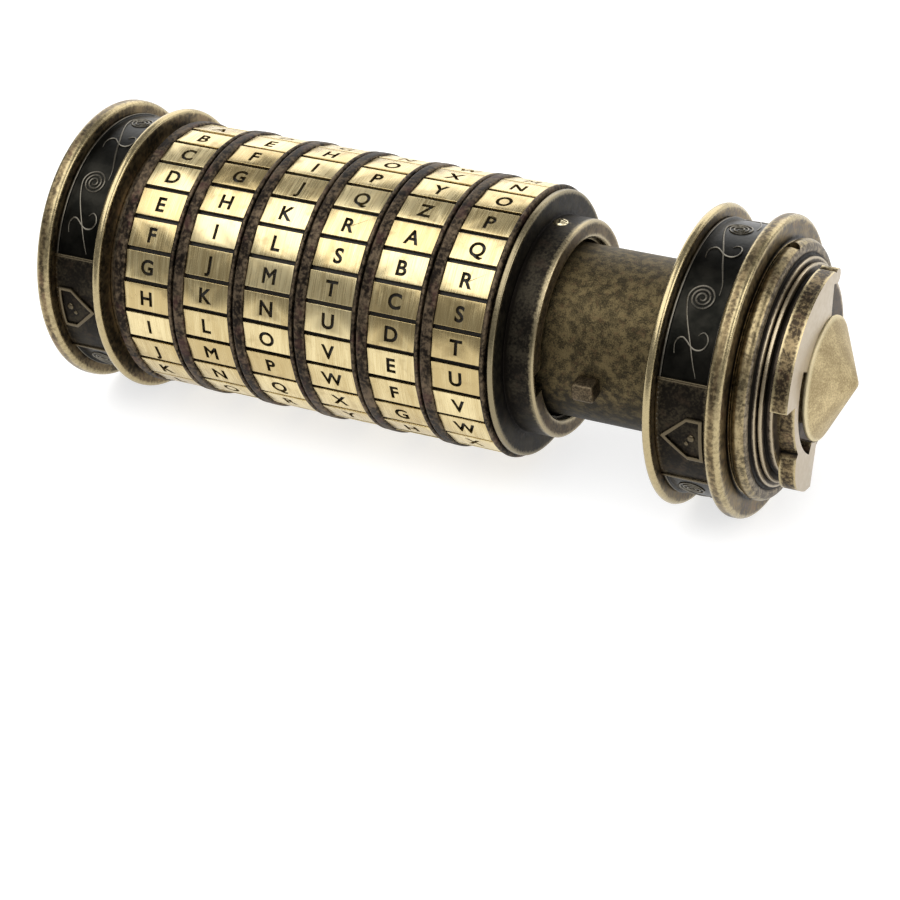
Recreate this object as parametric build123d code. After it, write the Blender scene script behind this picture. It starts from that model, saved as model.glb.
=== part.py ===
from build123d import *
import os
from math import sin, radians

# Cryptex: a slotted sleeve with six letter rings, and a drawer tube that its key pins lock in.
# Millimetres. X runs along the axis of the cylinder towards the drawer's cap, Z is up.
# The origin is on the surface that the flanges rest on, under the middle of the drawn-out object.
# Every piece is drawn about the X axis, with x = 0 in the middle of the ring stack, and the code
# line (pins, keyway, pointers) at -Y. PLACE then lifts it on to its flanges.

# ---- driving dimensions ----
flange_r = 24.0  # all four cap flanges
ring_count = 6
pitch = 11.3  # one letter ring
letter_count = 26
band_r = 22.1  # corners of the letter band
band_w = 8.4
drawn_out = 24.0  # how far the drawer stands open at rest
tube_r = 13.9
tube_wall = 1.5
pin_top_r = 16.7
gap = 0.3  # between pieces that move past each other
ring_turns = [1.4, -5.3, -5.3, -5.3, -5.3, -5.3]  # how each ring is dialled, degrees from the code line

# ---- worked out ----
stack_length = ring_count * pitch
broad_rim = 2.2
narrow_rim = pitch - band_w - broad_rim
stack_left = -stack_length / 2 - (broad_rim - narrow_rim) / 2
stack_right = stack_left + stack_length

sleeve_bore_r = tube_r + 0.5
sleeve_r = sleeve_bore_r + 0.85
wall_bore_r = sleeve_r + 0.25  # the code wall runs on the sleeve
passage_r = pin_top_r + 0.4  # the pins pass inside this
hub_r = passage_r + 1.2
drum_r = 19.7
rim_r = band_r + 0.25
face_r = 21.7

cap_gap = 1.65  # from the ring stack to the fixed cap
left_face = stack_left - cap_gap
collar_flange_x0 = stack_right + gap
collar_flange_x1 = collar_flange_x0 + 1.05
collar_end = collar_flange_x1 + 5.1
collar_r = 17.75
lip_bore_r = 14.8
closed_right_face = collar_flange_x1 + 1.8
right_face = closed_right_face + drawn_out

keyway_w = 3.8
pin_length, pin_w = 3.8, 3.0
first_pin_x = stack_left + 1.45 + drawn_out

outer_flange_end = 12.4  # from a cap's face towards the rings to the outside of its outer flange
base_w = 1.2
tip_u = 26.0
middle_x = (left_face - outer_flange_end - base_w + right_face + tip_u) / 2
PLACE = Pos(-middle_x, 0, flange_r)


def ring(x0, x1, inner_r, outer_r, round_r=0.0):
    """A turned ring about X, with its corners rounded where round_r is given."""
    centre = Pos((x0 + x1) / 2, (inner_r + outer_r) / 2)
    size = (x1 - x0, outer_r - inner_r)
    section = RectangleRounded(*size, round_r) if round_r else Rectangle(*size)
    return revolve(Plane.XZ * (centre * section), Axis.X)


def rod(x0, x1, r):
    """A plain round bar along X."""
    return Pos((x0 + x1) / 2, 0, 0) * Rot(0, 90, 0) * Cylinder(r, x1 - x0)


def key_block(x0, x1, r0, r1, width):
    """A block on the code line, from radius r0 out to r1."""
    return Pos((x0 + x1) / 2, -(r0 + r1) / 2, 0) * Box(x1 - x0, r1 - r0, width)


def radial_rod(x, angle, r0, r1, r):
    """A round bar square to the axis, at an angle down from the code line."""
    return Rot(angle, 0, 0) * Pos(x, -(r0 + r1) / 2, 0) * Rot(90, 0, 0) * Cylinder(r, r1 - r0)


def sector(x0, x1, r0, r1, angle, width):
    """Part of a ring, width degrees wide and centred at an angle down from the code line."""
    wedge = Rectangle(x1 - x0, r1 - r0)
    section = Plane.XZ * (Pos((x0 + x1) / 2, (r0 + r1) / 2) * wedge)
    # the section stands at the top, 90 degrees above the code line
    return Rot(angle - 90 - width / 2, 0, 0) * revolve(section, Axis.X, width)


# ---- caps: drawn for the right-hand end with u = 0 at the face towards the rings ----
flange_w = 1.4
outer_flange_w = 2.5  # its rim has a flat land, 1 mm wide
bed_u0, bed_u1 = flange_w, outer_flange_end - outer_flange_w
bed_r = 20.6
band_skin_r = 21.6
plate_r = 21.95
pointer_r = 22.4
end_u = 17.9  # the end face that the crown stands on
crown_u = 20.6
crown_r, crown_bore_r, lug_r = 16.8, 10.2, 18.6
cone_u, cone_r = 20.9, 9.9
tip_round = 0.7
spigot_r, spigot_u = 4.0, 15.8
screw_u, screw_angle = 13.9, -102.0  # in the bead
screw_r = 1.1
panel_w = 49.0  # degrees round the band


def spool():
    """Bed for the scroll band between two beaded flanges."""
    body = rod(0.4, outer_flange_end - 0.4, bed_r) + ring(0, flange_w, 10, flange_r, 0.65)
    return body + ring(bed_u1, outer_flange_end, 10, flange_r, 0.75) + rod(0, outer_flange_end, 12)


def pointed_cap():
    """Spool with a stepped end that carries the crown and the finial."""
    body = spool() + rod(outer_flange_end - 1, end_u, bed_r)
    end_steps = ring(outer_flange_end, end_u + 1, 20.4, 30)
    end_steps += ring(screw_u, end_u + 1, 18.2, 30) + ring(15.9, end_u + 1, 16.6, 30)
    end_steps += ring(16.7, end_u + 1, 15.9, 30)
    bead = revolve(Plane.XZ * (Pos(screw_u, 19.3) * Circle(1.35)), Axis.X)
    ridge = ring(16.1, 16.7, 12, 17.3, 0.25)
    return body - end_steps + bead + ridge


def scroll_band():
    """Sleeve round the bed between the flanges, with a fine rib along each edge."""
    sleeve = ring(bed_u0, bed_u1, bed_r, band_skin_r)
    for u in (bed_u0 + 0.75, bed_u1 - 0.75):
        for angle in (90, 270):
            between_plates = 180 - panel_w
            sleeve += sector(u - 0.2, u + 0.2, bed_r + 0.2, band_skin_r + 0.35, angle, between_plates)
    return sleeve


def pointer_plates():
    """Two plates on the band, opposite each other, each with a raised pointer aimed at the rings."""
    plates = Part()
    tip, base, half = bed_u0 + 0.35, bed_u1 - 0.55, 4.5
    outline = Polyline((tip, 0), (base, half), (base, -half), close=True)
    opening = Polyline((tip + 2.6, 0), (base - 1.1, half - 2.2), (base - 1.1, -half + 2.2), close=True)
    arrow = extrude(Plane.XZ * make_face(outline), 30) - extrude(Plane.XZ * make_face(opening), 30)
    arrow &= ring(bed_u0, bed_u1, plate_r - 0.1, pointer_r)
    for angle in (0, 180):
        plate = sector(bed_u0, bed_u1, band_skin_r, plate_r, angle, panel_w)
        plates += plate + Rot(angle, 0, 0) * arrow
    return plates


def crown():
    """Claw round the near side of the end face: a notch with a lug after it, and a hook at the far end."""
    claw = sector(end_u, crown_u, crown_bore_r, crown_r, -19.5, 171)
    claw -= sector(end_u + 0.7, crown_u + 1, 9, 11.6, 7, 86) + sector(end_u + 0.7, crown_u + 1, 9, 13.0, -27, 18)
    claw -= sector(end_u + 0.7, crown_u + 1, 13.4, 20, 4.5, 37)
    claw += sector(end_u + 0.7, crown_u, 14.2, lug_r, 40, 34)
    claw += sector(end_u, crown_u, 15.0, crown_r, -107, 8)
    return claw + Rot(-110, 0, 0) * Pos(0, -15.8, 0) * rod(end_u, crown_u, 1.2)


def finial():
    """Cone with a rounded tip, screwed down into the cap."""
    cone = Polyline((end_u, 0), (end_u, 7.5), (cone_u - 0.7, 7.5), (cone_u - 0.7, cone_r), (cone_u, cone_r),
                    (tip_u - tip_round, tip_round), (tip_u, 0.15), (tip_u, 0), close=True)
    body = revolve(Plane.XZ * make_face(cone), Axis.X)
    return body + rod(spigot_u, end_u, spigot_r)


def set_screws():
    """Two headless screws, opposite each other, that hold the cap on its tube."""
    screws = Part()
    for angle in (screw_angle, screw_angle + 180):
        body = radial_rod(screw_u, angle, tube_r, 20.2, screw_r)
        screws += body - radial_rod(screw_u, angle, 19.2, 21, 0.5)
    return screws


def set_screw_holes():
    holes = Part()
    for angle in (screw_angle, screw_angle + 180):
        holes += radial_rod(screw_u, angle, 5, 26, screw_r)
    return holes


def right_end(shape):
    return Pos(right_face, 0, 0) * shape


def left_end(shape):
    return Pos(left_face, 0, 0) * mirror(shape, Plane.YZ)


pieces = {}

# ---- fixed body: cap, sleeve and collar ----
sleeve_seat_u = 11.0
base_r, base_screw_r, base_screw_place = 18.6, 0.8, 17.3
base_screw_head_r, base_screw_u = 1.3, 7.5
left_bore = rod(-1, sleeve_seat_u, sleeve_r)
base_plate = chamfer(rod(outer_flange_end, outer_flange_end + base_w, base_r).edges().group_by(Axis.X)[-1], 0.3)
base_screws = Part()
base_screw_holes = Part()
for turn in (30, 150, 270):
    seat = Rot(turn, 0, 0) * Pos(0, -base_screw_place, 0)
    shank = seat * rod(base_screw_u, outer_flange_end + 0.6, base_screw_r)
    head = seat * rod(outer_flange_end + 0.6, outer_flange_end + base_w, base_screw_head_r)
    slot = seat * Pos(outer_flange_end + base_w, 0, 0) * Box(0.8, 0.4, 3)
    base_screws += shank + head - slot
    base_screw_holes += shank + head
sleeve_x0 = left_face - sleeve_seat_u
lip_x = collar_end - 1.2
slot_x0 = first_pin_x - drawn_out - pin_length / 2 - 0.6
guide_sleeve = ring(sleeve_x0, lip_x, sleeve_bore_r, sleeve_r)
guide_sleeve -= key_block(slot_x0, lip_x + 1, sleeve_bore_r - 2, sleeve_r + 1, keyway_w)

collar = ring(collar_flange_x0, collar_flange_x1, sleeve_r, face_r, 0.3)
collar += ring(collar_flange_x0 + 0.1, lip_x, sleeve_r, collar_r)
collar += chamfer(ring(lip_x, collar_end, lip_bore_r, collar_r).edges().group_by(Axis.X)[-1], 0.35)
collar -= key_block(collar_flange_x0 - 1, collar_end + 1, 12, passage_r, keyway_w + 0.2)
collar_screw_x = collar_flange_x1 + 1.5
collar_screw_turns = (-100, 80)  # degrees down from the code line
collar_screws = Part()
collar_screw_holes = Part()
for turn in collar_screw_turns:
    shank = radial_rod(collar_screw_x, turn, sleeve_bore_r + 0.1, collar_r, 0.8)
    head = radial_rod(collar_screw_x, turn, collar_r - 0.9, collar_r + 0.35, 1.3)
    head -= Rot(turn, 0, 0) * Pos(collar_screw_x, -collar_r - 0.35, 0) * Box(3, 0.7, 0.4)
    collar_screws += shank + head
    collar_screw_holes += radial_rod(collar_screw_x, turn, 10, collar_r + 1, 0.8)
    collar_screw_holes += radial_rod(collar_screw_x, turn, collar_r - 0.9, collar_r + 1, 1.3)

pieces["left_cap"] = left_end(spool() - left_bore - base_screw_holes)
pieces["left_scroll_band"] = left_end(scroll_band())
pieces["left_pointer_plates"] = left_end(pointer_plates())
pieces["base_plate"] = left_end(base_plate - base_screw_holes)
pieces["base_screws"] = left_end(base_screws)
pieces["guide_sleeve"] = guide_sleeve - collar_screw_holes
# the last pin backs into the spacer when the drawer is shut
pin_relief = key_block(left_face - 1, stack_left + 1, 12, passage_r, keyway_w)
pieces["stack_spacer"] = ring(left_face, stack_left, sleeve_r, 20.3) - pin_relief
pieces["collar"] = collar - collar_screw_holes
pieces["collar_screws"] = collar_screws

# ---- letter rings ----
wall_x0, wall_x1 = 5.1, 9.0  # the wall that the pins lock behind, from the ring's left face
notch_w = 2 * passage_r * sin(radians(12.5))
groove_w, groove_depth = 0.85, 0.5


def carrier():
    """Broad left rim, and the drum that the letter band sits on."""
    return ring(gap, broad_rim, passage_r, rim_r, 0.4) + ring(broad_rim - 0.5, 10.6, hub_r, drum_r)


def letter_band():
    """Twenty-six flats with a dark groove between neighbours."""
    flats = RegularPolygon(band_r, letter_count, rotation=180 / letter_count)
    band = Pos(broad_rim, 0, 0) * extrude(Plane.YZ * flats, band_w)
    band -= rod(0, pitch + 1, drum_r)
    step = 360 / letter_count
    for cell in range(letter_count):
        groove = key_block(broad_rim - 1, broad_rim + band_w + 1, band_r - groove_depth, band_r + 1, groove_w)
        band -= Rot((cell + 0.5) * step, 0, 0) * groove
    return band


def code_plate():
    """Cover with the narrow right rim, and the notched wall that runs on the sleeve."""
    plate = ring(wall_x0, pitch, passage_r, hub_r) + ring(pitch - narrow_rim, pitch, passage_r, rim_r - 0.1)
    plate += ring(wall_x0, wall_x1, wall_bore_r, hub_r)
    return plate - key_block(wall_x0 - 1, wall_x1 + 1, 12, passage_r, notch_w)


for number in range(1, ring_count + 1):
    seat = Pos(stack_left + (number - 1) * pitch, 0, 0) * Rot(ring_turns[number - 1], 0, 0)
    pieces[f"ring_{number}_carrier"] = seat * carrier()
    pieces[f"ring_{number}_letter_band"] = seat * letter_band()
    pieces[f"ring_{number}_code_plate"] = seat * code_plate()

# ---- drawer: tube, pins and cap ----
tube_x0 = stack_left - 2.85 + drawn_out
tube_x1 = right_face + 14.6
recess_u = 4.9  # takes the collar when the drawer is shut
tube = ring(tube_x0, tube_x1, tube_r - tube_wall, tube_r)
key_pins = Part()
for number in range(ring_count):
    x = first_pin_x + number * pitch
    peg = key_block(x - pin_length / 2, x + pin_length / 2, tube_r - 0.3, pin_top_r, pin_w)
    peg = chamfer(peg.edges().group_by(Axis.Y)[0], 0.3) - rod(x - pin_length, x + pin_length, tube_r)
    stud = radial_rod(x, 0, tube_r - tube_wall, tube_r + 0.5, 1.2)
    key_pins += peg + stud
    tube -= radial_rod(x, 0, 5, tube_r + 1, 1.2)

right_cap = pointed_cap() - rod(-1, recess_u, collar_r + 0.65) - rod(-1, 14.6, tube_r)
right_cap -= rod(spigot_u - gap, end_u + 1, spigot_r)
right_cap = right_end(right_cap - set_screw_holes())
right_screws = right_end(set_screws()) - rod(right_face, tube_x1 + 1, tube_r)

pieces["inner_tube"] = tube
pieces["key_pins"] = key_pins
pieces["right_cap"] = right_cap
pieces["right_scroll_band"] = right_end(scroll_band())
pieces["right_pointer_plates"] = right_end(pointer_plates())
pieces["crown"] = right_end(crown())
pieces["finial"] = right_end(finial())
pieces["set_screws"] = right_screws

os.makedirs("parts", exist_ok=True)
for name, piece in pieces.items():
    export_step(PLACE * piece, f"parts/{name}.step")
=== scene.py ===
"""Looks of the cryptex: turned caps with scrollwork, six letter rings, a collar and the drawer tube.

Shapes are drawn in millimetres about the X axis, and piece() moves them to their place in the frame. In a
turned outline u runs along the axis, away from the rings on a cap. Turns are in degrees down from the code
line.
"""

import math
import random

import bmesh
import bpy
import numpy as np
from mathutils import Matrix, Vector


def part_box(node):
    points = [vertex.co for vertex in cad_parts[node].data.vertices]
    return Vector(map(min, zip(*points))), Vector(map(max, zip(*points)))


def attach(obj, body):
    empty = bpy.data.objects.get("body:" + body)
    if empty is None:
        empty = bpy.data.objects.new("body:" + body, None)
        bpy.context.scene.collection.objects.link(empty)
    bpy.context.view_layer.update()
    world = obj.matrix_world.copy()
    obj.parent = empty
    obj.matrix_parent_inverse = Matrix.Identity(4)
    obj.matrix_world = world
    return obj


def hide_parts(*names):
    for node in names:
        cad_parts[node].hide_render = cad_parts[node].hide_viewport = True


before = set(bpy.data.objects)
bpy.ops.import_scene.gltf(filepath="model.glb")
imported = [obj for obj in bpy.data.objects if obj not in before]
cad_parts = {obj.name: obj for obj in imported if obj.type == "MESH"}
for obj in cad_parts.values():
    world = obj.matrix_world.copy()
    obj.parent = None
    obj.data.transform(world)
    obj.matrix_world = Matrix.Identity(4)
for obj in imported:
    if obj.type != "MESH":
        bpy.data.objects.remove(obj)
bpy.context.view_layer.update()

MM = 0.001
AXIS_HEIGHT = (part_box("inner_tube")[0].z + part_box("inner_tube")[1].z) / 2
LETTERS = "ABCDEFGHIJKLMNOPQRSTUVWXYZ"
CELL_ANGLE = 360 / len(LETTERS)
RING_COUNT = 6
DIALLED = "ILOVEU"  # the letter of each ring on the code line
RING_TURNS = (1.4, -5.3, -5.3, -5.3, -5.3, -5.3)  # degrees down from the code line
TURN_STEPS = 160  # round a full turn


# ---------------------------------------------------------------- node maths
class Value:
    """A socket in a finish. Arithmetic on it adds Math nodes."""

    def __init__(self, finish, socket):
        self.finish = finish
        self.socket = socket

    def math(self, operation, first, second=0.0):
        return self.finish.node("ShaderNodeMath", {0: first, 1: second}, operation=operation)

    def __add__(self, other):
        return self.math("ADD", self, other)

    __radd__ = __add__

    def __sub__(self, other):
        return self.math("SUBTRACT", self, other)

    def __rsub__(self, other):
        return self.math("SUBTRACT", other, self)

    def __mul__(self, other):
        return self.math("MULTIPLY", self, other)

    __rmul__ = __mul__

    def rise(self, low, high):
        """0 below low, 1 above high, and smooth between them. low may be the larger."""
        settings = {"interpolation_type": "SMOOTHSTEP"}
        return self.finish.node("ShaderNodeMapRange", {0: self, 1: low, 2: high, 3: 0.0, 4: 1.0}, **settings)


class Finish:
    """A metal finish: one material, built round its own shader."""

    def __init__(self, name, metallic=1.0):
        self.material = bpy.data.materials.new(name)
        self.material.use_nodes = True
        self.tree = self.material.node_tree
        self.shader = self.tree.nodes["Principled BSDF"]
        self.shader.inputs["Metallic"].default_value = metallic
        self.place = self.node("ShaderNodeTexCoord", output="Object")

    def node(self, kind, sockets=None, output=0, **settings):
        new = self.tree.nodes.new(kind)
        for name, setting in settings.items():
            setattr(new, name, setting)
        for key, value in (sockets or {}).items():
            self.feed(new.inputs[key], value)
        return Value(self, new.outputs[output])

    def feed(self, socket, value):
        if isinstance(value, Value):
            self.tree.links.new(value.socket, socket)
        elif socket.type == "RGBA":
            socket.default_value = (*value, 1.0)
        else:
            socket.default_value = value

    def noise(self, size, detail=3.0, roughness=0.55, stretch=(1, 1, 1), offset=0.0):
        """Noise from about 0.25 to 0.75, with spots of about size millimetres."""
        scale = tuple(s / (size * MM) for s in stretch)
        moved = {"Vector": self.place, "Scale": scale, "Location": (offset, 0, 0)}
        place = self.node("ShaderNodeMapping", moved)
        return self.node("ShaderNodeTexNoise", {"Vector": place, "Scale": 1.0, "Detail": detail,
                                                "Roughness": roughness})

    def attribute(self, name):
        return self.node("ShaderNodeAttribute", output="Fac", attribute_name=name)

    def mix(self, first, second, factor):
        return self.node("ShaderNodeMix", {0: factor, 6: first, 7: second}, output=2, data_type="RGBA")

    def bump(self, height, depth, below=None):
        """A bump of depth millimetres, on top of another one."""
        sockets = {"Height": height, "Distance": depth * MM, "Strength": 1.0}
        if below:
            sockets["Normal"] = below
        return self.node("ShaderNodeBump", sockets)

    def set(self, **sockets):
        for name, value in sockets.items():
            self.feed(self.shader.inputs[name.replace("_", " ")], value)
        return self.material


# ---------------------------------------------------------------- finishes
GRIME = (0.012, 0.010, 0.008)


def antique(name, dark, mid, bright, patina=0.5, rough=(0.32, 0.55), spot=1.6, grain=0.012,
            tint=(0.20, 0.10, 0.06), edge=1.0, shade=False):
    """Cast metal with a dark patina, rubbed bright on its edges and left black in its corners.

    The colours are of the patina, the plain metal and the rubbed edges. spot is the size of the mottling in
    millimetres. edge is how much of each edge is rubbed. shade adds painted shade to the underside.
    """
    f = Finish(name)
    cloud = f.noise(spot * 3.5, 4.0, 0.6).rise(0.35, 0.68)
    speck = f.noise(spot * 0.45, 4.0, 0.65, offset=3.0).rise(0.36, 0.66)
    fine = f.noise(0.22, 2.0, 0.6, offset=9.0)
    wear = f.attribute("wear")
    rubbed = (wear * (1.4 * edge) + (fine - 0.5) * 0.3 + (speck - 0.5) * 0.3).rise(0.15, 0.95)
    grime = (wear * -1.6 + (speck - 0.4) * 0.3).rise(0.1, 0.8)
    base = f.mix(dark, mid, (cloud * 0.55 + speck * 0.6 + (1 - patina) - 0.55).rise(0.0, 1.0))
    base = f.mix(base, tint, f.noise(spot * 2.2, 3.0, 0.6, offset=5.0).rise(0.54, 0.70) * 0.45)
    base = f.mix(base, bright, rubbed * 0.9)
    # painted shade: the colour darkens towards near black below the axis, where the underside gets less light
    if shade:
        height = f.node("ShaderNodeSeparateXYZ", {0: f.place}, output=2)
        under = (height * (1 / MM) + (cloud - 0.5) * 4).rise(AXIS_HEIGHT / MM + 3, AXIS_HEIGHT / MM - 9)
        base = f.mix(base, (0.020, 0.019, 0.016), under * 0.8)
    base = f.mix(base, GRIME, grime)
    low, high = rough
    roughness = low + (1 - rubbed) * (high - low) + (speck - 0.5) * 0.12
    relief = f.bump(f.noise(spot * 1.2, 3.0, 0.6, offset=2.0), grain * 2.2)
    relief = f.bump(fine, grain, relief)
    return f.set(Base_Color=base, Roughness=roughness, Normal=relief)


def letter_brass():
    """Pale brass, brushed round the ring, each flat a little different from the next."""
    f = Finish("letter_brass")
    tone = f.attribute("tone")
    streak = f.noise(0.16, 2.0, 0.5, stretch=(1, 0.03, 0.03))
    broad = f.noise(1.1, 2.0, 0.5, stretch=(1, 0.12, 0.12), offset=4.0)
    stain = f.noise(2.4, 4.0, 0.6, offset=7.0).rise(0.52, 0.72)
    shine = (tone * 0.8 + (streak - 0.5) * 1.1 + (broad - 0.5) * 0.9).rise(0.0, 1.0)
    base = f.mix((0.50, 0.385, 0.185), (0.80, 0.675, 0.385), shine)
    base = f.mix(base, (0.36, 0.26, 0.12), stain * 0.35)
    roughness = 0.27 + (streak - 0.5) * 0.25 + stain * 0.12 + (tone - 0.5) * 0.08
    relief = f.bump(streak, 0.006)
    return f.set(Base_Color=base, Roughness=roughness, Normal=relief)


def black_paint():
    f = Finish("letter_black", metallic=0.0)
    grit = f.noise(0.3, 3.0, 0.6)
    base = f.mix((0.006, 0.005, 0.004), (0.030, 0.024, 0.018), grit.rise(0.4, 0.7))
    return f.set(Base_Color=base, Roughness=0.45 + grit * 0.3, Normal=f.bump(grit, 0.02))


def blackened():
    """Near-black band, glossy where it is smooth, with a little brown in the lows."""
    f = Finish("blackened")
    cloud = f.noise(4.0, 4.0, 0.6).rise(0.35, 0.7)
    fine = f.noise(0.35, 3.0, 0.6, offset=6.0)
    wear = f.attribute("wear")
    rubbed = (wear + (fine - 0.5) * 0.8).rise(0.25, 0.95)
    base = f.mix((0.006, 0.006, 0.005), (0.017, 0.016, 0.013), cloud)
    base = f.mix(base, (0.21, 0.19, 0.155), rubbed * 0.75)
    relief = f.bump(f.noise(0.8, 4.0, 0.65, offset=2.0), 0.03)
    return f.set(Base_Color=base, Roughness=0.22 + fine * 0.22, Normal=relief)


def grainy_finial():
    """Pale sanded cone."""
    f = Finish("grainy_finial")
    grain = f.noise(0.28, 4.0, 0.7)
    cloud = f.noise(3.5, 4.0, 0.6, offset=3.0).rise(0.35, 0.7)
    wear = f.attribute("wear")
    base = f.mix((0.33, 0.255, 0.135), (0.68, 0.56, 0.33), (cloud * 0.3 + grain * 2.0 - 0.75).rise(0.0, 1.0))
    base = f.mix(base, (0.80, 0.71, 0.47), wear.rise(0.2, 0.8) * 0.6)
    return f.set(Base_Color=base, Roughness=0.42 + grain * 0.25, Normal=f.bump(grain, 0.05))


brass = antique("antique_brass", (0.055, 0.042, 0.026), (0.235, 0.175, 0.092), (0.47, 0.385, 0.215), 0.45,
                rough=(0.24, 0.42), tint=(0.17, 0.10, 0.065))
crown_brass = antique("crown_brass", (0.21, 0.175, 0.145), (0.33, 0.285, 0.235), (0.47, 0.40, 0.30), 0.35,
                      rough=(0.36, 0.55), spot=2.2, tint=(0.30, 0.22, 0.18))
claw_side = antique("claw_side", (0.040, 0.030, 0.020), (0.30, 0.225, 0.12), (0.47, 0.385, 0.22), 0.6,
                    rough=(0.26, 0.45), spot=1.2, tint=(0.16, 0.095, 0.06))
dark_steps = antique("dark_steps", (0.030, 0.024, 0.019), (0.120, 0.094, 0.070), (0.42, 0.35, 0.24), 0.5,
                     tint=(0.09, 0.06, 0.045))
ring_bronze = antique("ring_bronze", (0.014, 0.011, 0.009), (0.165, 0.122, 0.080), (0.17, 0.130, 0.080), 0.60,
                      rough=(0.40, 0.60), spot=1.5, grain=0.03, tint=(0.105, 0.052, 0.045), edge=0.3)
collar_bronze = antique("collar_bronze", (0.014, 0.012, 0.010), (0.055, 0.047, 0.033), (0.27, 0.225, 0.135),
                        0.62, spot=1.0, tint=(0.060, 0.042, 0.030), edge=0.75)
lip_brass = antique("lip_brass", (0.060, 0.046, 0.030), (0.190, 0.145, 0.088), (0.40, 0.33, 0.20), 0.4,
                    spot=1.0, tint=(0.13, 0.085, 0.055), edge=0.75)
# the drawer tube and the guide sleeve get painted shade on their undersides
tube_bronze = antique("tube_bronze", (0.028, 0.023, 0.014), (0.170, 0.130, 0.064), (0.24, 0.19, 0.105), 0.5,
                      rough=(0.38, 0.6), spot=0.4, grain=0.02, tint=(0.115, 0.070, 0.038), edge=0.7,
                      shade=True)
pin_bronze = antique("pin_bronze", (0.030, 0.023, 0.015), (0.115, 0.085, 0.052), (0.20, 0.155, 0.095), 0.6,
                     rough=(0.40, 0.6), spot=0.6, grain=0.03, tint=(0.10, 0.06, 0.04), edge=0.5)
plate_bronze = antique("plate_bronze", (0.012, 0.010, 0.008), (0.050, 0.041, 0.027), (0.125, 0.100, 0.062),
                       0.7, spot=1.0, tint=(0.055, 0.038, 0.025))
screw_brass = antique("screw_brass", (0.10, 0.08, 0.05), (0.42, 0.34, 0.20), (0.82, 0.72, 0.48), 0.4,
                      spot=0.6)
scroll_metal = antique("scroll_metal", (0.025, 0.023, 0.020), (0.08, 0.073, 0.06), (0.17, 0.155, 0.125), 0.5,
                       spot=0.6)
band_black = blackened()
letter_metal = letter_brass()
letter_paint = black_paint()
finial_metal = grainy_finial()


# ---------------------------------------------------------------- mesh helpers
def soften(bm, width, segments=3, above=28.0):
    """Rounds every edge sharper than an angle."""
    bmesh.ops.recalc_face_normals(bm, faces=bm.faces)
    sharp = [e for e in bm.edges if len(e.link_faces) == 2 and e.calc_face_angle(0) > math.radians(above)]
    bmesh.ops.bevel(bm, geom=sharp, offset=width, offset_type="OFFSET", segments=segments, profile=0.5,
                    affect="EDGES", material=-1, clamp_overlap=True)
    return bm


def arc(u, r, radius, start, stop, steps=10):
    """Points of an arc in a turned outline, in degrees from +u towards +r."""
    turns = [math.radians(start + (stop - start) * i / steps) for i in range(steps + 1)]
    return [(u + radius * math.cos(t), r + radius * math.sin(t)) for t in turns]


def divided(outline, longest=0.7):
    """The outline with its long runs divided, so that wear stays near the edges."""
    points = []
    for (u0, r0), (u1, r1) in zip(outline, outline[1:] + outline[:1]):
        parts = max(1, math.ceil(math.hypot(u1 - u0, r1 - r0) / longest))
        points += [(u0 + (u1 - u0) * i / parts, r0 + (r1 - r0) * i / parts) for i in range(parts)]
    return points


def turned(outline, round_width=0.12, steps=TURN_STEPS, sweep=360.0, start=0.0):
    """Spins a closed outline of (u, radius) points about X. start is degrees down from the code line."""
    bm = bmesh.new()
    corners = [bm.verts.new((u, -r, 0)) for u, r in divided(outline)]
    full = sweep >= 360
    if full:
        profile = [bm.edges.new((a, b)) for a, b in zip(corners, corners[1:] + corners[:1])]
    else:
        profile = [bm.faces.new(corners)]
    about_axis(bm, start)
    swept = corners + profile + ([] if full else bm.edges[:])
    bmesh.ops.spin(bm, geom=swept, cent=(0, 0, 0), axis=(1, 0, 0), angle=math.radians(sweep), steps=steps,
                   use_merge=full)
    bmesh.ops.remove_doubles(bm, verts=bm.verts, dist=1e-4)
    if round_width:
        soften(bm, round_width)
    bmesh.ops.recalc_face_normals(bm, faces=bm.faces)
    return bm


def block(low, high, round_width=0.0):
    """A box between two corners, in millimetres."""
    bm = bmesh.new()
    bmesh.ops.create_cube(bm, size=1.0)
    bmesh.ops.scale(bm, verts=bm.verts, vec=[b - a for a, b in zip(low, high)])
    bmesh.ops.translate(bm, verts=bm.verts, vec=[(a + b) / 2 for a, b in zip(low, high)])
    if round_width:
        soften(bm, round_width)
    return bm


def about_axis(bm, degrees):
    """Turns a mesh about the object's axis, down from the code line."""
    matrix = Matrix.Rotation(math.radians(degrees), 3, "X")
    bmesh.ops.rotate(bm, verts=bm.verts, cent=(0, 0, 0), matrix=matrix)
    return bm


def bar(radius, depth, segments, place, about):
    """A round bar made along Z, given a quarter turn about an axis and moved to its place."""
    bm = bmesh.new()
    bmesh.ops.create_cone(bm, cap_ends=True, segments=segments, radius1=radius, radius2=radius, depth=depth)
    bmesh.ops.rotate(bm, verts=bm.verts, cent=(0, 0, 0), matrix=Matrix.Rotation(math.pi / 2, 3, about))
    bmesh.ops.translate(bm, verts=bm.verts, vec=place)
    return bm


def merged(*parts):
    """All the parts in one mesh."""
    whole = bmesh.new()
    for part in parts:
        spare = bpy.data.meshes.new("spare")
        part.to_mesh(spare)
        part.free()
        whole.from_mesh(spare)
        bpy.data.meshes.remove(spare)
    return whole


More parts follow.
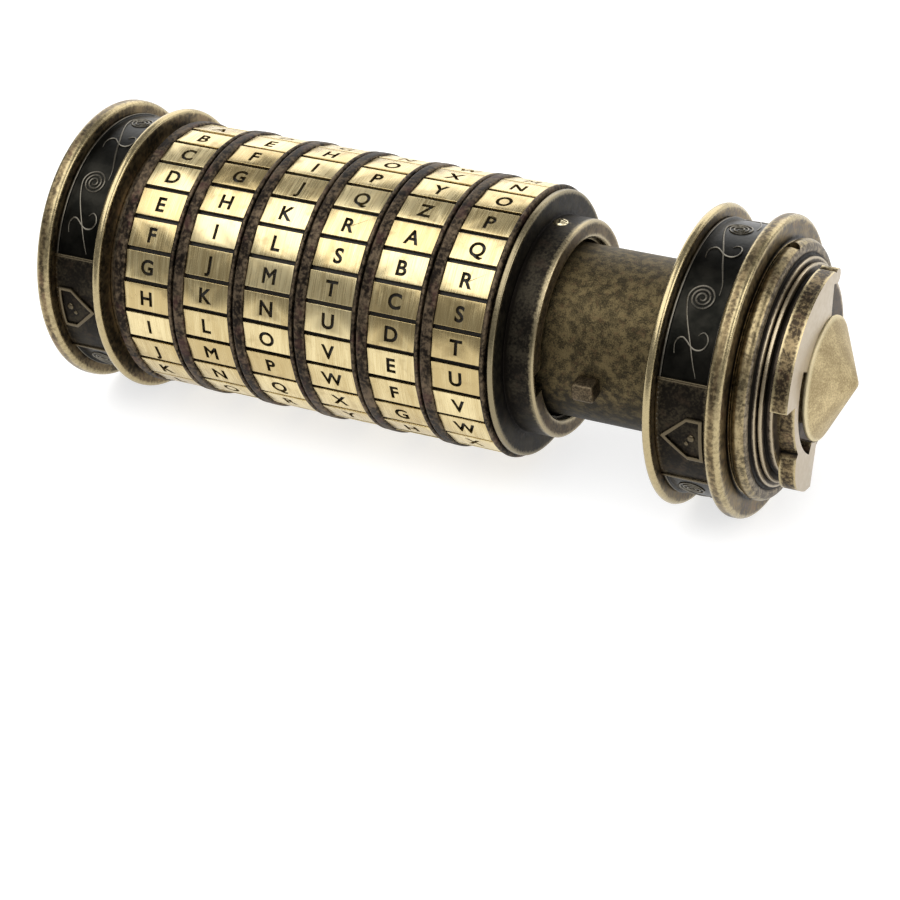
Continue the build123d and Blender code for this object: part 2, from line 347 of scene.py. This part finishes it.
def boolean(bm, tool, tangled=False):
    """bm with a tool cut out of it. tangled says that the tool crosses itself."""
    objects = []
    for source in (bm, tool):
        mesh = bpy.data.meshes.new("working")
        source.to_mesh(mesh)
        source.free()
        objects.append(bpy.data.objects.new("working", mesh))
        bpy.context.scene.collection.objects.link(objects[-1])
    cut = objects[0].modifiers.new("cut", "BOOLEAN")
    cut.operation = "DIFFERENCE"
    cut.object = objects[1]
    cut.solver = "EXACT"
    cut.use_self = tangled
    cut.use_hole_tolerant = tangled
    graph = bpy.context.evaluated_depsgraph_get()
    result = bmesh.new()
    result.from_object(objects[0], graph)
    for o in objects:
        bpy.data.objects.remove(o)
    return result


def mark_wear(mesh, smooth_steps=2, full_wear=2.2):
    """Stores how convex the surface is at each point: 1 on a worn edge, negative in a corner."""
    count = len(mesh.vertices)
    place = np.empty(count * 3)
    mesh.vertices.foreach_get("co", place)
    place = place.reshape(-1, 3) / MM
    normal = np.empty(count * 3)
    mesh.vertex_normals.foreach_get("vector", normal)
    normal = normal.reshape(-1, 3)
    ends = np.empty(len(mesh.edges) * 2, dtype=np.int64)
    mesh.edges.foreach_get("vertices", ends)
    a, b = ends.reshape(-1, 2).T
    along = place[b] - place[a]
    length2 = np.maximum((along**2).sum(1), 1e-6)
    # the strongest bend at each point, so that a long turned edge isn't averaged away
    bend_a = -2 * (normal[a] * along).sum(1) / length2
    bend_b = 2 * (normal[b] * along).sum(1) / length2
    ridge = np.zeros(count)
    hollow = np.zeros(count)
    for end, bend in ((a, bend_a), (b, bend_b)):
        np.maximum.at(ridge, end, bend)
        np.minimum.at(hollow, end, bend)
    wear = np.clip(np.where(ridge > -hollow, ridge, hollow) / full_wear, -1, 1)
    links = np.bincount(a, minlength=count) + np.bincount(b, minlength=count)
    for _ in range(smooth_steps):
        near = np.bincount(a, wear[b], count) + np.bincount(b, wear[a], count)
        wear = 0.5 * wear + 0.5 * near / np.maximum(links, 1)
    mesh.attributes.new("wear", "FLOAT", "POINT").data.foreach_set("value", wear.astype(np.float32))


def piece(name, bm, body, slot, materials, *nodes, smooth=True):
    """Moves a mesh from millimetres about the axis to its place in the frame, and finishes it."""
    bmesh.ops.scale(bm, verts=bm.verts, vec=(MM, MM, MM))
    bmesh.ops.translate(bm, verts=bm.verts, vec=(0, 0, AXIS_HEIGHT))
    mesh = bpy.data.meshes.new(name)
    bm.to_mesh(mesh)
    bm.free()
    for polygon in mesh.polygons:
        polygon.use_smooth = smooth
    mesh.set_sharp_from_angle(angle=math.radians(35))
    mark_wear(mesh)
    for material in materials:
        mesh.materials.append(material)
    made = bpy.data.objects.new(name, mesh)
    bpy.context.scene.collection.objects.link(made)
    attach(made, body)
    if nodes:
        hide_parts(*nodes)
    return made


def shifted(bm, u, side=1):
    """Moves a piece along X. side -1 turns it end for end, for the left-hand cap."""
    if side < 0:
        bmesh.ops.scale(bm, verts=bm.verts, vec=(-1, 1, 1))
        bmesh.ops.reverse_faces(bm, faces=bm.faces)
    bmesh.ops.translate(bm, verts=bm.verts, vec=(u, 0, 0))
    return bm


def wrapped(bm, radius):
    """Lays a flat drawing (x along the axis, y round it, z height) on a cylinder, y = 0 on the code line."""
    for v in bm.verts:
        turn = v.co.y / radius
        reach = radius + v.co.z
        v.co = (v.co.x, -reach * math.cos(turn), reach * math.sin(turn))
    return bm


# ---------------------------------------------------------------- caps
FLANGE_R = 24.0
BED_R = 20.6
BAND_R = 21.6
PLATE_R = 21.95
BED_FROM, BED_TO = 1.4, 9.9
SPOOL_END = 12.4
BEAD_AT = 13.9
END_FACE, CROWN_TOP = 17.9, 20.6
PANEL_HALF = 24.5  # degrees
SCREW_TURN = -102


def spool_outline(inside, outside):
    """Two flanges with round rims and the bed between them, from the face towards the rings outwards."""
    rim = arc(0.7, FLANGE_R - 0.7, 0.7, 180, 0, 12)
    broad = arc(BED_TO + 0.85, FLANGE_R - 0.85, 0.85, 180, 90, 6)
    broad += arc(SPOOL_END - 0.85, FLANGE_R - 0.85, 0.85, 90, 0, 6)
    return inside + [(0, 22.4)] + rim + [(BED_FROM, BED_R), (BED_TO, BED_R)] + broad + outside


def drawer_cap():
    """Spool with a bead, steps and a ridge, and the recess that takes the collar."""
    inside = [(15.2, 4.0), (15.2, 13.9), (4.9, 13.9), (4.9, 18.4), (0, 18.4)]
    bead = arc(BEAD_AT, 19.3, 1.35, 160, -35, 16)
    steps = [(SPOOL_END, 20.3), (12.65, 20.0)] + bead + [(15.2, 18.2), (15.9, 18.1), (15.9, 16.7)]
    steps += [(16.1, 16.7), (16.1, 17.3), (16.7, 17.3), (16.7, 15.9), (END_FACE, 15.9), (END_FACE, 4.0)]
    bm = turned(spool_outline(inside, steps), 0.12)
    for turn in (SCREW_TURN, SCREW_TURN + 180):
        drill = bar(1.1, 8, 24, (BEAD_AT, -19.5, 0), "X")
        bm = boolean(bm, about_axis(drill, turn))
    for face in bm.faces:
        face.material_index = 1 if face.calc_center_median().x > BEAD_AT + 1.1 else 0
    return bm


def fixed_cap():
    """Spool closed by an end wall, with the sleeve's seat."""
    inside = [(11.0, 0.3), (11.0, 15.25), (0, 15.25)]
    return turned(spool_outline(inside, [(SPOOL_END, 19.5), (SPOOL_END, 0.3)]), 0.12)


BASE_SCREW_TURNS = (30, 150, 270)
BASE_SCREW_PLACE = 17.3


def base_plate():
    """Thin plate under the fixed cap, with a turned line near its rim and three screw seats."""
    low, high = SPOOL_END, SPOOL_END + 1.2
    outline = [(low, 0.3), (low, 18.6), (high - 0.3, 18.6), (high, 18.3), (high, 15.4), (high - 0.25, 15.2)]
    outline += [(high - 0.25, 14.8), (high, 14.6), (high, 0.3)]
    bm = turned(outline, 0.05)
    for turn in BASE_SCREW_TURNS:
        drill = bar(1.32, 4, 32, (high + 1.4, -BASE_SCREW_PLACE, 0), "Y")
        bm = boolean(bm, about_axis(drill, turn))
    return bm


def base_screws():
    """Slotted heads in the base plate."""
    parts = []
    for turn in BASE_SCREW_TURNS:
        head = bar(1.26, 0.6, 32, (SPOOL_END + 0.85, -BASE_SCREW_PLACE, 0), "Y")
        low = (SPOOL_END + 0.9, -BASE_SCREW_PLACE - 0.2, -2)
        high = (SPOOL_END + 2, -BASE_SCREW_PLACE + 0.2, 2)
        slot_cut = block(low, high)
        parts.append(about_axis(boolean(soften(head, 0.08), slot_cut), turn))
    return merged(*parts)


def band_sleeve():
    """Smooth dark sleeve with a fine rib along each edge."""
    low, high, rib = BED_FROM + 0.02, BED_TO - 0.02, BAND_R + 0.35
    step = BAND_R - 0.3
    outline = [(low, BED_R), (low, step), (low + 0.15, step), (low + 0.2, rib), (low + 0.5, rib)]
    outline += [(low + 0.6, BAND_R), (high - 0.6, BAND_R), (high - 0.5, rib), (high - 0.2, rib)]
    outline += [(high - 0.15, step), (high, step), (high, BED_R)]
    return turned(outline, 0.06)


def wire(points, thickness, radius=BAND_R):
    """A raised line along flat points (x, y), laid on a cylinder."""
    curve = bpy.data.curves.new("line", "CURVE")
    curve.dimensions = "3D"
    curve.bevel_depth = thickness / 2
    curve.bevel_resolution = 2
    curve.use_fill_caps = True
    curve.resolution_u = 3
    line = curve.splines.new("NURBS")
    line.points.add(len(points) - 1)
    for i, (x, y) in enumerate(points):
        taper = min(1.0, 0.45 + 0.25 * min(i, len(points) - 1 - i))
        line.points[i].co = (x, y, 0.05, 1)
        line.points[i].radius = taper
    line.order_u = 3
    line.use_endpoint_u = True
    holder = bpy.data.objects.new("line", curve)
    bpy.context.scene.collection.objects.link(holder)
    mesh = bpy.data.meshes.new_from_object(holder.evaluated_get(bpy.context.evaluated_depsgraph_get()))
    bm = bmesh.new()
    bm.from_mesh(mesh)
    bpy.data.objects.remove(holder)
    bpy.data.curves.remove(curve)
    bpy.data.meshes.remove(mesh)
    return wrapped(bm, radius)


def spiral(x, y, outer, inner, turns, start, steps_per_turn=12):
    """Points of a spiral from its outer end to its eye. start is in degrees."""
    count = int(steps_per_turn * abs(turns))
    points = []
    for i in range(count + 1):
        share = i / count
        radius = outer + (inner - outer) * share
        turn = math.radians(start + 360 * turns * share)
        points.append((x + radius * math.cos(turn), y + radius * math.sin(turn)))
    return points


def scrollwork():
    """Three scrolls in each space between the pointer plates: a spiral on a stem, crossed by an S."""
    lines = []
    round_mm = math.radians(1) * BAND_R
    # across the band, and down from the eye of the spiral
    stem = [(1.65, 12.1), (0.8, 9.9), (0.05, 7.6), (-0.9, 5.2), (-1.75, 3.0)]
    tail = [(2.2, 15.4), (2.25, 13.8)]
    cross = [(-2.3, 9.0), (-2.6, 7.9), (-2.3, 6.8), (-1.5, 6.3), (-0.7, 6.9), (0.1, 7.7)]
    cross += [(1.0, 8.1), (2.1, 7.8), (2.65, 6.7), (2.3, 5.5), (1.4, 5.1), (0.9, 5.8)]
    for space in (-90, 90):
        for step in (-43, 0, 43):
            eye = (space - 11.3 + step) * round_mm
            curl = spiral(-0.2, 0, 2.3, 0.3, 3.0, 156)
            runs = stem if step == 43 else tail + stem
            for points, thick in ((runs + curl, 0.30), (cross, 0.28)):
                lines.append(wire([(x, -(eye + down)) for x, down in points], thick))
    return merged(*lines)


def outline_loop(bm, corners, longest=0.35):
    """Edges round flat corners (x, y), divided finely enough to be laid on a cylinder."""
    points = []
    for (x0, y0), (x1, y1) in zip(corners, corners[1:] + corners[:1]):
        parts = max(1, round(math.hypot(x1 - x0, y1 - y0) / longest))
        points += [(x0 + (x1 - x0) * i / parts, y0 + (y1 - y0) * i / parts, 0) for i in range(parts)]
    verts = [bm.verts.new(p) for p in points]
    return [bm.edges.new((p, q)) for p, q in zip(verts, verts[1:] + verts[:1])]


def pointer_plates():
    """Curved plates with raised ends, each with a raised hollow pointer aimed at the rings, and a boss."""
    parts = []
    low, high = BED_FROM + 0.05, BED_TO - 0.05
    flat = [(low, BAND_R - 0.2), (low, PLATE_R), (high, PLATE_R), (high, BAND_R - 0.2)]
    ridge = [(low, PLATE_R - 0.2), (low, PLATE_R + 0.3), (high, PLATE_R + 0.3), (high, PLATE_R - 0.2)]
    tip, shoulder, base, half, line = BED_FROM + 0.9, BED_TO - 3.3, BED_TO - 0.7, 3.8, 0.62
    for side in (0, 180):
        parts.append(turned(flat, 0.09, 26, 2 * PANEL_HALF, side - PANEL_HALF))
        for end in (-PANEL_HALF, PANEL_HALF - 1.2):
            parts.append(turned(ridge, 0.1, 2, 1.2, side + end))
        arrow = bmesh.new()
        corners = [(tip, 0), (shoulder, -half), (base, -half), (base, half), (shoulder, half)]
        rim = outline_loop(arrow, corners)
        slope = math.hypot(shoulder - tip, half) / half
        corners = [(tip + line * slope, 0), (shoulder + 0.1, -half + line), (base - line, -half + line)]
        corners += [(base - line, half - line), (shoulder + 0.1, half - line)]
        rim += outline_loop(arrow, corners)
        bmesh.ops.bridge_loops(arrow, edges=rim)
        raised = bmesh.ops.extrude_face_region(arrow, geom=arrow.faces[:])
        top = [g for g in raised["geom"] if isinstance(g, bmesh.types.BMVert)]
        bmesh.ops.translate(arrow, verts=top, vec=(0, 0, 0.42))
        soften(arrow, 0.13, 2, 50)
        parts.append(about_axis(wrapped(arrow, PLATE_R - 0.02), side))
        for along, across, size in ((base - 1.9, 0.25, 0.62), (base - 2.7, -0.85, 0.38)):
            boss = bmesh.new()
            bmesh.ops.create_uvsphere(boss, u_segments=20, v_segments=10, radius=size)
            bmesh.ops.scale(boss, verts=boss.verts, vec=(1, 1, 0.5))
            bmesh.ops.translate(boss, verts=boss.verts, vec=(along, across, 0))
            parts.append(about_axis(wrapped(boss, PLATE_R), side))
    return merged(*parts)


def crown():
    """Claw round the near side of the end face: a notch with a lug after it, and a hook at the far end."""

    def outer(turn):
        if -14 < turn < 27:
            return 13.6
        if turn >= 27:
            rise = math.sin(math.radians(min(90.0, 4.5 * (turn - 27))))
            return 14.6 + 3.2 * rise - 0.06 * max(0.0, turn - 58)
        return 17.2

    def inner(turn):
        if -38 < turn < 52:
            return 12.0
        return 10.1

    bm = bmesh.new()
    turns = [-105 + 171 * i / 342 for i in range(343)]
    # the hook curls out past the end of the claw
    hook = []
    for t in range(-170, 60, 15):
        curl = math.radians(t)
        hook.append((16.2 + 1.2 * math.cos(curl), -110.5 + 4.2 * math.sin(curl)))
    path = [(inner(t), t) for t in reversed(turns)] + [(15.2, -105)] + hook
    path += [(outer(t), t) for t in turns]
    corners = []
    for reach, turn in path:
        angle = math.radians(turn)
        corners.append(bm.verts.new((0, -reach * math.cos(angle), -reach * math.sin(angle))))
    bm.faces.new(corners)
    bmesh.ops.remove_doubles(bm, verts=bm.verts, dist=0.02)
    bmesh.ops.triangulate(bm, faces=bm.faces)
    raised = bmesh.ops.extrude_face_region(bm, geom=bm.faces[:])
    top = [g for g in raised["geom"] if isinstance(g, bmesh.types.BMVert)]
    bmesh.ops.translate(bm, verts=top, vec=(CROWN_TOP - END_FACE, 0, 0))
    bmesh.ops.translate(bm, verts=bm.verts, vec=(END_FACE, 0, 0))
    wall = [e for e in bm.edges if abs(e.verts[0].co.x - e.verts[1].co.x) > 1]
    bmesh.ops.subdivide_edges(bm, edges=wall, cuts=5)
    soften(bm, 0.3, 4, 40)
    for face in bm.faces:
        face.material_index = 0 if face.normal.x > 0.8 else 1
    return bm


def finial():
    """Cone with a rounded tip on a short neck."""
    outline = [(END_FACE, 0.0), (END_FACE, 7.5), (20.3, 7.5), (20.3, 9.7), (20.45, 9.9), (20.9, 9.9)]
    outline += [(20.9 + 4.65 * i / 12, 9.9 - 9.0 * i / 12) for i in range(1, 12)]
    outline += arc(24.55, 0.0, 1.3, 27.3, 0, 8)
    bm = bmesh.new()
    chain = [bm.verts.new((u, -r, 0)) for u, r in outline]
    edges = [bm.edges.new(pair) for pair in zip(chain, chain[1:])]
    bmesh.ops.spin(bm, geom=chain + edges, cent=(0, 0, 0), axis=(1, 0, 0), angle=2 * math.pi, steps=96,
                   use_merge=True)
    bmesh.ops.remove_doubles(bm, verts=bm.verts, dist=1e-4)
    return soften(bm, 0.12, 3, 30)


def socket_screws():
    """Two headless screws in the bead."""
    parts = []
    for turn in (SCREW_TURN, SCREW_TURN + 180):
        screw = bar(1.05, 4.0, 24, (BEAD_AT, -17.2, 0), "X")
        slot_cut = block((BEAD_AT - 1.5, -21.0, -0.17), (BEAD_AT + 1.5, -18.7, 0.17))
        parts.append(about_axis(boolean(soften(screw, 0.1), slot_cut), turn))
    return merged(*parts)


right_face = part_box("right_cap")[0].x / MM
left_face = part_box("left_cap")[1].x / MM
for name, bm, face, side, body, slot, materials in (
    ("right_cap", drawer_cap(), right_face, 1, "drawer", "antique_brass", [brass, dark_steps]),
    ("crown", crown(), right_face, 1, "drawer", "antique_brass", [crown_brass, claw_side]),
    ("finial", finial(), right_face, 1, "drawer", "pale_finial", [finial_metal]),
    ("set_screws", socket_screws(), right_face, 1, "drawer", "screw_brass", [dark_steps]),
    ("left_cap", fixed_cap(), left_face, -1, "case", "antique_brass", [brass]),
    ("base_plate", base_plate(), left_face, -1, "case", "antique_brass", [crown_brass]),
    ("base_screws", base_screws(), left_face, -1, "case", "screw_brass", [screw_brass]),
):
    piece(f"{name}_metal", shifted(bm, face, side), body, slot, materials, name)
for where, face, side, body in (("left", left_face, -1, "case"), ("right", right_face, 1, "drawer")):
    band = shifted(band_sleeve(), face, side)
    piece(f"{where}_band_metal", band, body, "black_band", [band_black], f"{where}_scroll_band")
    pointers = shifted(pointer_plates(), face, side)
    piece(f"{where}_pointer_metal", pointers, body, "pointer_bronze", [plate_bronze],
          f"{where}_pointer_plates")
    # the scrolls run the same way on both caps
    middle = face + side * (BED_FROM + BED_TO) / 2
    piece(f"{where}_scrollwork", shifted(scrollwork(), middle), body, "black_band", [scroll_metal])


# ---------------------------------------------------------------- letter rings
PITCH = 11.3
RIM_FROM, RIM_TO = 0.3, 2.2
COVER_FROM = 10.6
RIM_R = 22.35
PLATE_APOTHEM = 22.1 * math.cos(math.radians(CELL_ANGLE / 2))
BAND_SEAT_R = 19.7  # the letter band sits on the drum here
HUB_R = 18.3
PASSAGE_R = 17.1  # clear of the pins
GUIDE_R = 15.5  # runs on the sleeve
WALL_FROM, WALL_TO = 5.1, 9.0
FLOOR_R = 21.32  # the dark floor below the letters
GROOVE = 0.72
PLATE_THICK = 0.5
PLATE_BEVEL = 0.07
STROKE_EXTRA = 0.11  # added to each side of a letter's strokes
CAP_HEIGHT = 2.5
PLATE_LENGTH = COVER_FROM - RIM_TO - 0.12
PLATE_WIDTH = 2 * 22.1 * math.sin(math.radians(CELL_ANGLE / 2)) - GROOVE


def letter_plates():
    """One engraved plate for each letter, flat, with the letter cut through to the dark floor below."""
    plates = {}
    for letter in LETTERS:
        text = bpy.data.curves.new(f"letter_{letter}", "FONT")
        text.body = letter
        text.resolution_u = 5
        text.size = CAP_HEIGHT / 0.729
        text.offset = STROKE_EXTRA
        text.extrude = 1.0
        holder = bpy.data.objects.new(f"letter_{letter}", text)
        bpy.context.scene.collection.objects.link(holder)
        bpy.context.view_layer.update()
        mesh = bpy.data.meshes.new_from_object(holder.evaluated_get(bpy.context.evaluated_depsgraph_get()))
        bpy.data.objects.remove(holder)
        bpy.data.curves.remove(text)
        cutter = bmesh.new()
        cutter.from_mesh(mesh)
        bpy.data.meshes.remove(mesh)
        bmesh.ops.remove_doubles(cutter, verts=cutter.verts, dist=0.002)
        bmesh.ops.recalc_face_normals(cutter, faces=cutter.faces)
        places = [v.co.x for v in cutter.verts]
        middle = (min(places) + max(places)) / 2
        bmesh.ops.translate(cutter, verts=cutter.verts, vec=(-middle, -CAP_HEIGHT / 2, 0))
        half_l, half_w = PLATE_LENGTH / 2, PLATE_WIDTH / 2
        plate = block((-half_l, -half_w, -PLATE_THICK), (half_l, half_w, 0), PLATE_BEVEL)
        engraved = boolean(plate, cutter, tangled=True)
        plates[letter] = bpy.data.meshes.new(f"plate_{letter}")
        engraved.to_mesh(plates[letter])
        engraved.free()
    return plates


def ring_letters(number, plates):
    """Twenty-six engraved plates round a dark floor."""
    dice = random.Random(40 + number)
    outline = [(RIM_TO, BAND_SEAT_R), (RIM_TO, FLOOR_R), (COVER_FROM, FLOOR_R), (COVER_FROM, BAND_SEAT_R)]
    bm = turned(outline, 0, 4 * len(LETTERS))
    tone = bm.faces.layers.float.new("tone")
    for face in bm.faces:
        face.material_index = 1
    first = LETTERS.index(DIALLED[number - 1])
    for cell in range(len(LETTERS)):
        letter = LETTERS[(first + cell) % len(LETTERS)]
        start = len(bm.faces)
        old = len(bm.verts)
        bm.from_mesh(plates[letter])
        bm.verts.ensure_lookup_table()
        bm.faces.ensure_lookup_table()
        new = bm.verts[old:]
        tilt = Matrix.Rotation(math.radians(dice.gauss(0, 0.9)), 4, "X") @ Matrix.Rotation(
            math.radians(dice.gauss(0, 0.35)), 4, "Y")
        stand = Matrix.Translation(((RIM_TO + COVER_FROM) / 2, -PLATE_APOTHEM, 0))
        stand = stand @ Matrix.Rotation(math.pi / 2, 4, "X")
        turn = Matrix.Rotation(math.radians(cell * CELL_ANGLE), 4, "X")
        bmesh.ops.transform(bm, matrix=turn @ stand @ tilt, verts=new)
        shade = min(1.0, max(0.0, dice.gauss(0.5, 0.24)))
        for face in bm.faces[start:]:
            face[tone] = shade
            face.material_index = 0
    return bm


def carrier():
    """Broad rim, and the drum under the letters."""
    rim = [(RIM_FROM, PASSAGE_R)] + arc(RIM_FROM + 0.45, RIM_R - 0.45, 0.45, 180, 90, 5)
    rim += arc(RIM_TO - 0.35, RIM_R - 0.35, 0.35, 90, 0, 5)
    rim += [(RIM_TO, BAND_SEAT_R), (COVER_FROM, BAND_SEAT_R), (COVER_FROM, HUB_R)]
    rim += [(RIM_TO - 0.5, HUB_R), (RIM_TO - 0.5, PASSAGE_R)]
    return turned(rim, 0.06)


def code_plate():
    """Cover with the narrow rim, and the notched wall inside."""
    outline = [(WALL_FROM, GUIDE_R), (WALL_FROM, HUB_R), (COVER_FROM, HUB_R), (COVER_FROM, RIM_R - 0.25)]
    outline += arc(COVER_FROM + 0.35, RIM_R - 0.35, 0.3, 150, 20, 5)
    outline += [(PITCH, RIM_R - 0.5), (PITCH, PASSAGE_R), (WALL_TO, PASSAGE_R), (WALL_TO, GUIDE_R)]
    notch = block((WALL_FROM - 0.6, -PASSAGE_R, -3.7), (WALL_TO + 0.6, -12.0, 3.7))
    return boolean(turned(outline, 0.06), notch)


plates = letter_plates()
for number in range(1, RING_COUNT + 1):
    body = f"ring_{number}"
    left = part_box(f"{body}_carrier")[0].x / MM - RIM_FROM
    turn = RING_TURNS[number - 1]
    for part, bm, slot, materials in (
        ("carrier", carrier(), "ring_bronze", [ring_bronze]),
        ("letter_band", ring_letters(number, plates), "letter_brass", [letter_metal, letter_paint]),
        ("code_plate", code_plate(), "ring_bronze", [ring_bronze]),
    ):
        placed = shifted(about_axis(bm, turn), left)
        piece(f"{body}_{part}_metal", placed, body, slot, materials, f"{body}_{part}")
for mesh in plates.values():
    bpy.data.meshes.remove(mesh)


# ---------------------------------------------------------------- collar, sleeve and drawer
COLLAR_SCREW_TURNS = (-100, 80)
COLLAR_SCREW_AT = 2.55
TUBE_R, TUBE_BORE_R = 13.9, 12.4
SLEEVE_R, SLEEVE_BORE_R = 15.25, 14.4
SLEEVE_SLOT_FROM = 6.9
SPACER_BORE_R, SPACER_R = 15.3, 20.3
PIN_TOP_R = 16.7
PIN_HALF = 1.9  # half a pin's length


def collar():
    """Flange against the last ring, neck, and a chamfered lip with the keyway."""
    flange = [(0, SLEEVE_R), (0, 21.5), (0.2, 21.7), (0.85, 21.7), (1.05, 21.5), (1.05, 17.75)]
    lip = [(5.85, 17.75), (6.15, 17.45), (6.15, 15.1), (5.85, 14.8), (4.95, 14.8), (4.95, SLEEVE_R)]
    keyway = block((-1, -PASSAGE_R, -2.0), (7, -12, 2.0))
    bm = boolean(turned(flange + lip, 0.08), keyway)
    for turn in COLLAR_SCREW_TURNS:
        sink = bar(1.3, 2.0, 32, (COLLAR_SCREW_AT, -17.85, 0), "X")
        bm = boolean(bm, about_axis(sink, turn))
    for face in bm.faces:
        face.material_index = 1 if face.calc_center_median().x > 5.84 else 0
    return bm


def collar_screws():
    """Round heads with a crossed slot."""
    parts = []
    for turn in COLLAR_SCREW_TURNS:
        head = bmesh.new()
        bmesh.ops.create_uvsphere(head, u_segments=32, v_segments=16, radius=1.27)
        whole = head.verts[:] + head.edges[:] + head.faces[:]
        bmesh.ops.bisect_plane(head, geom=whole, plane_co=(0, 0, 0), plane_no=(0, 0, -1), clear_outer=True)
        edge = [e for e in head.edges if e.is_boundary]
        bmesh.ops.extrude_edge_only(head, edges=edge)
        foot = [v for v in head.verts if v.is_boundary]
        bmesh.ops.scale(head, verts=head.verts, vec=(1, 1, 0.55))
        bmesh.ops.translate(head, verts=foot, vec=(0, 0, -0.9))
        bmesh.ops.holes_fill(head, edges=[e for e in head.edges if e.is_boundary])
        bmesh.ops.recalc_face_normals(head, faces=head.faces)
        head = boolean(head, block((-1.0, -0.17, 0.28), (1.0, 0.17, 2.0)))
        head = boolean(head, block((-0.17, -1.0, 0.28), (0.17, 1.0, 2.0)))
        bmesh.ops.rotate(head, verts=head.verts, cent=(0, 0, 0), matrix=Matrix.Rotation(math.pi / 2, 3, "X"))
        bmesh.ops.translate(head, verts=head.verts, vec=(COLLAR_SCREW_AT, -17.55, 0))
        parts.append(about_axis(head, turn))
    return merged(*parts)


def pins(first, pitch):
    """Six worn keys in line."""
    parts = []
    for number in range(RING_COUNT):
        x = first + number * pitch
        parts.append(block((x - PIN_HALF, -PIN_TOP_R, -1.5), (x + PIN_HALF, -13.6, 1.5), 0.55))
    return merged(*parts)


def plain_tube(length, bore, outside, round_width):
    """A short plain tube that starts at u = 0."""
    return turned([(0, bore), (0, outside), (length, outside), (length, bore)], round_width)


def ends(node):
    """Where a node starts and ends along X, in millimetres."""
    low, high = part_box(node)
    return low.x / MM, high.x / MM


low, high = ends("collar")
piece("collar_metal", shifted(collar(), low), "case", "dark_collar", [collar_bronze, lip_brass], "collar")
piece("collar_screws_metal", shifted(collar_screws(), low), "case", "screw_brass", [screw_brass],
      "collar_screws")
low, high = ends("guide_sleeve")
sleeve = plain_tube(high - low, SLEEVE_BORE_R, SLEEVE_R, 0.05)
sleeve = boolean(sleeve, block((SLEEVE_SLOT_FROM, -17, -1.9), (high - low + 1, -12, 1.9)))
piece("guide_sleeve_metal", shifted(sleeve, low), "case", "sleeve_brass", [tube_bronze], "guide_sleeve")
low, high = ends("stack_spacer")
spacer = plain_tube(high - low, SPACER_BORE_R, SPACER_R, 0.15)
# the last pin backs into the spacer when the drawer is shut
spacer = boolean(spacer, block((-1, -PASSAGE_R, -2.0), (high - low + 1, -12, 2.0)))
piece("stack_spacer_metal", shifted(spacer, low), "case", "dark_collar", [dark_steps], "stack_spacer")
low, high = ends("inner_tube")
drawer_tube = plain_tube(high - low, TUBE_BORE_R, TUBE_R, 0.25)
piece("inner_tube_metal", shifted(drawer_tube, low), "drawer", "mottled_tube", [tube_bronze], "inner_tube")
first_pin = ends("key_pins")[0] + PIN_HALF
piece("key_pins_metal", pins(first_pin, PITCH), "drawer", "mottled_tube", [pin_bronze], "key_pins")


# ---------------------------------------------------------------- stage
def floor():
    bm = bmesh.new()
    bmesh.ops.create_grid(bm, x_segments=2, y_segments=2, size=3.0)
    mesh = bpy.data.meshes.new("floor")
    bm.to_mesh(mesh)
    bm.free()
    f = Finish("pale_floor", metallic=0.0)
    f.set(Base_Color=(0.5, 0.5, 0.5), Roughness=0.9, Emission_Color=(1, 1, 1), Emission_Strength=0.7)
    mesh.materials.append(f.material)
    plane = bpy.data.objects.new("floor", mesh)
    bpy.context.scene.collection.objects.link(plane)


def light(name, place, aim, size, power, colour=(1, 1, 1)):
    """A soft rectangular light, aimed at a point. size is (width, height)."""
    lamp = bpy.data.lights.new(name, "AREA")
    lamp.shape = "RECTANGLE"
    lamp.size, lamp.size_y = size
    lamp.energy = power
    lamp.color = colour
    holder = bpy.data.objects.new(name, lamp)
    holder.location = place
    holder.rotation_euler = (Vector(aim) - Vector(place)).to_track_quat("-Z", "Y").to_euler()
    bpy.context.scene.collection.objects.link(holder)


def camera():
    """The view of a person across the table, to the drawer's side."""
    azimuth, elevation, roll = (math.radians(a) for a in (29.84, 35.65, -5.91))
    aim = Vector((right_face - 41.77, -7.78, 1.73)) * MM
    distance = 435.7 * MM
    reach = math.cos(elevation)
    back = Vector((math.sin(azimuth) * reach, -math.cos(azimuth) * reach, math.sin(elevation)))
    level = Vector((math.cos(azimuth), math.sin(azimuth), 0))
    upright = back.cross(level)
    right = math.cos(roll) * level + math.sin(roll) * upright
    up = back.cross(right)
    data = bpy.data.cameras.new("camera")
    data.sensor_width = 36
    data.lens = 105.05
    data.shift_x, data.shift_y = -0.0027, -0.0082
    data.clip_start = 0.01
    holder = bpy.data.objects.new("camera", data)
    facing = Matrix((right, up, back)).transposed().to_4x4()
    holder.matrix_world = Matrix.Translation(aim + back * distance) @ facing
    bpy.context.scene.collection.objects.link(holder)
    bpy.context.scene.camera = holder


floor()
camera()
light("overhead", (-0.10, -0.22, 0.62), (-0.02, 0, 0.02), (1.1, 0.55), 4.6)
light("behind", (-0.15, 0.70, 0.30), (0, 0, 0.05), (1.6, 0.5), 5.0)
light("end", (0.75, 0.05, 0.40), (0.05, 0, 0.02), (0.5, 0.35), 1.8)
world = bpy.data.worlds.new("studio")
world.use_nodes = True
world.node_tree.nodes["Background"].inputs["Color"].default_value = (1, 1, 1, 1)
world.node_tree.nodes["Background"].inputs["Strength"].default_value = 0.32
bpy.context.scene.world = world
bpy.context.scene.view_settings.view_transform = "Standard"
